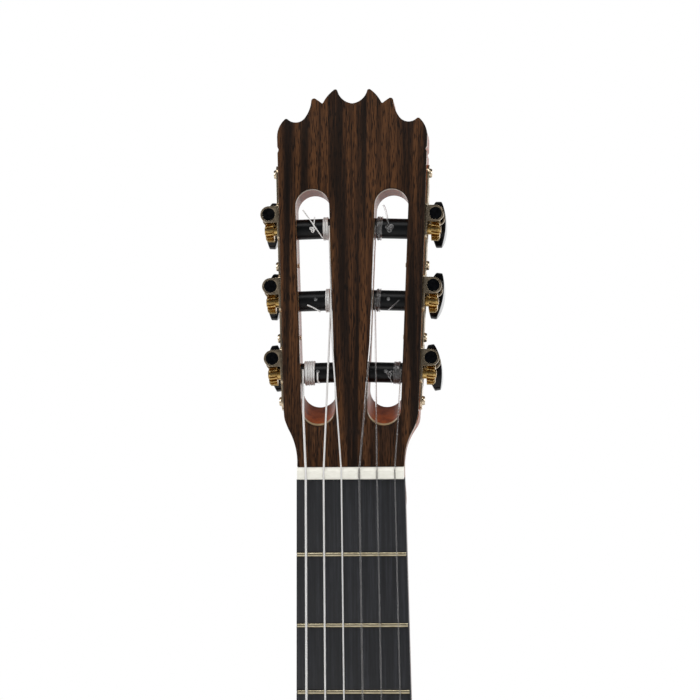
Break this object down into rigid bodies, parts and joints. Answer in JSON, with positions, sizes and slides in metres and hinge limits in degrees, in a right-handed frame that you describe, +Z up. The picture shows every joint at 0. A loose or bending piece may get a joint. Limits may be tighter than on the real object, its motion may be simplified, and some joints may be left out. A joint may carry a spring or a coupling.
{
  "type": "classical guitar",
  "caption": "Nylon-strung classical guitar with a slotted, carved-crest head, worm-and-wheel tuning machines and a hollow braced body.",
  "frame": {"origin": "middle of the playing surface where the fingerboard meets the nut, where a hanger yoke carries the neck", "axes": "+Z up along the neck to the head, -Y out of the soundboard towards the listener, +X to the treble side"},
  "size_m": [0.366, 0.114, 0.9994],
  "materials": {
    "rosewood": "glossy lacquer",
    "cedar": "glossy lacquer",
    "veneer": "glossy lacquer",
    "ebony": "oiled, satin",
    "spruce": "glossy lacquer",
    "brace_spruce": "bare, sanded",
    "willow": "bare, sanded",
    "mosaic": "glossy lacquer",
    "purfling_wood": "glossy lacquer",
    "bone": "polished bone",
    "fret_wire": "polished nickel silver",
    "machine_plate": "champagne nickel plating",
    "plate_screw": "champagne nickel plating",
    "wheel_brass": "machined, gold plated",
    "worm_steel": "black oxide",
    "roller_black": "satin moulded",
    "button_black": "polished",
    "wound_string": "silver-plated winding",
    "nylon": "clear nylon"
  },
  "bodies": {
    "root": {"neck_shaft": "cedar", "head_core": "cedar", "heel_block": "cedar", "head_faceplate": "rosewood", "head_veneers": "veneer", "nut": "bone", "fingerboard": "ebony", "frets": "fret_wire", "soundboard": "spruce", "rosette": "mosaic", "ribs": "rosewood", "back_plate": "rosewood", "edge_bindings": "rosewood", "purfling": "purfling_wood", "linings": "willow", "tail_block": "cedar", "soundboard_braces": "brace_spruce", "back_braces": "brace_spruce", "bridge": "rosewood", "saddle": "bone", "tie_block_trim": "bone", "tuner_plate_bass": "machine_plate", "tuner_plate_treble": "machine_plate", "plate_screws": "plate_screw", "string_1": "nylon", "string_2": "nylon", "string_3": "nylon", "string_4": "wound_string", "string_5": "wound_string", "string_6": "wound_string"},
    "roller_1": {"string_roller_1": "roller_black", "worm_wheel_1": "wheel_brass", "string_1_winding": "nylon"},
    "worm_1": {"worm_shaft_1": "worm_steel", "tuning_button_1": "button_black"},
    "roller_2": {"string_roller_2": "roller_black", "worm_wheel_2": "wheel_brass", "string_2_winding": "nylon"},
    "worm_2": {"worm_shaft_2": "worm_steel", "tuning_button_2": "button_black"},
    "roller_3": {"string_roller_3": "roller_black", "worm_wheel_3": "wheel_brass", "string_3_winding": "nylon"},
    "worm_3": {"worm_shaft_3": "worm_steel", "tuning_button_3": "button_black"},
    "roller_4": {"string_roller_4": "roller_black", "worm_wheel_4": "wheel_brass", "string_4_winding": "wound_string"},
    "worm_4": {"worm_shaft_4": "worm_steel", "tuning_button_4": "button_black"},
    "roller_5": {"string_roller_5": "roller_black", "worm_wheel_5": "wheel_brass", "string_5_winding": "wound_string"},
    "worm_5": {"worm_shaft_5": "worm_steel", "tuning_button_5": "button_black"},
    "roller_6": {"string_roller_6": "roller_black", "worm_wheel_6": "wheel_brass", "string_6_winding": "wound_string"},
    "worm_6": {"worm_shaft_6": "worm_steel", "tuning_button_6": "button_black"}
  },
  "joints": [
    {"name": "button_turn_1", "type": "hinge", "parent": "root", "child": "worm_1", "pos_m": [0.03839, 0.02451, 0.05475], "axis": [0, -0.9659, 0.2588], "continuous": true},
    {"name": "roller_turn_1", "type": "hinge", "parent": "root", "child": "roller_1", "pos_m": [0.03309, 0.02278, 0.04828], "axis": [0.9996, -0.0077, -0.0287], "continuous": true},
    {"name": "button_turn_2", "type": "hinge", "parent": "root", "child": "worm_2", "pos_m": [0.03944, 0.03365, 0.08884], "axis": [0, -0.9659, 0.2588], "continuous": true},
    {"name": "roller_turn_2", "type": "hinge", "parent": "root", "child": "roller_2", "pos_m": [0.03414, 0.03192, 0.08238], "axis": [0.9996, -0.0077, -0.0287], "continuous": true},
    {"name": "button_turn_3", "type": "hinge", "parent": "root", "child": "worm_3", "pos_m": [0.04048, 0.04279, 0.12294], "axis": [0, -0.9659, 0.2588], "continuous": true},
    {"name": "roller_turn_3", "type": "hinge", "parent": "root", "child": "roller_3", "pos_m": [0.03518, 0.04105, 0.11647], "axis": [0.9996, -0.0077, -0.0287], "continuous": true},
    {"name": "button_turn_4", "type": "hinge", "parent": "root", "child": "worm_4", "pos_m": [-0.04048, 0.04279, 0.12294], "axis": [0, -0.9659, 0.2588], "continuous": true},
    {"name": "roller_turn_4", "type": "hinge", "parent": "root", "child": "roller_4", "pos_m": [-0.03518, 0.04105, 0.11647], "axis": [-0.9996, -0.0077, -0.0287], "continuous": true},
    {"name": "button_turn_5", "type": "hinge", "parent": "root", "child": "worm_5", "pos_m": [-0.03944, 0.03365, 0.08884], "axis": [0, -0.9659, 0.2588], "continuous": true},
    {"name": "roller_turn_5", "type": "hinge", "parent": "root", "child": "roller_5", "pos_m": [-0.03414, 0.03192, 0.08238], "axis": [-0.9996, -0.0077, -0.0287], "continuous": true},
    {"name": "button_turn_6", "type": "hinge", "parent": "root", "child": "worm_6", "pos_m": [-0.03839, 0.02451, 0.05475], "axis": [0, -0.9659, 0.2588], "continuous": true},
    {"name": "roller_turn_6", "type": "hinge", "parent": "root", "child": "roller_6", "pos_m": [-0.03309, 0.02278, 0.04828], "axis": [-0.9996, -0.0077, -0.0287], "continuous": true}
  ],
  "couplings": [
    {"joint": "roller_turn_1", "follows": "button_turn_1", "ratio": -0.055556},
    {"joint": "roller_turn_2", "follows": "button_turn_2", "ratio": -0.055556},
    {"joint": "roller_turn_3", "follows": "button_turn_3", "ratio": -0.055556},
    {"joint": "roller_turn_4", "follows": "button_turn_4", "ratio": -0.055556},
    {"joint": "roller_turn_5", "follows": "button_turn_5", "ratio": -0.055556},
    {"joint": "roller_turn_6", "follows": "button_turn_6", "ratio": -0.055556}
  ]
}
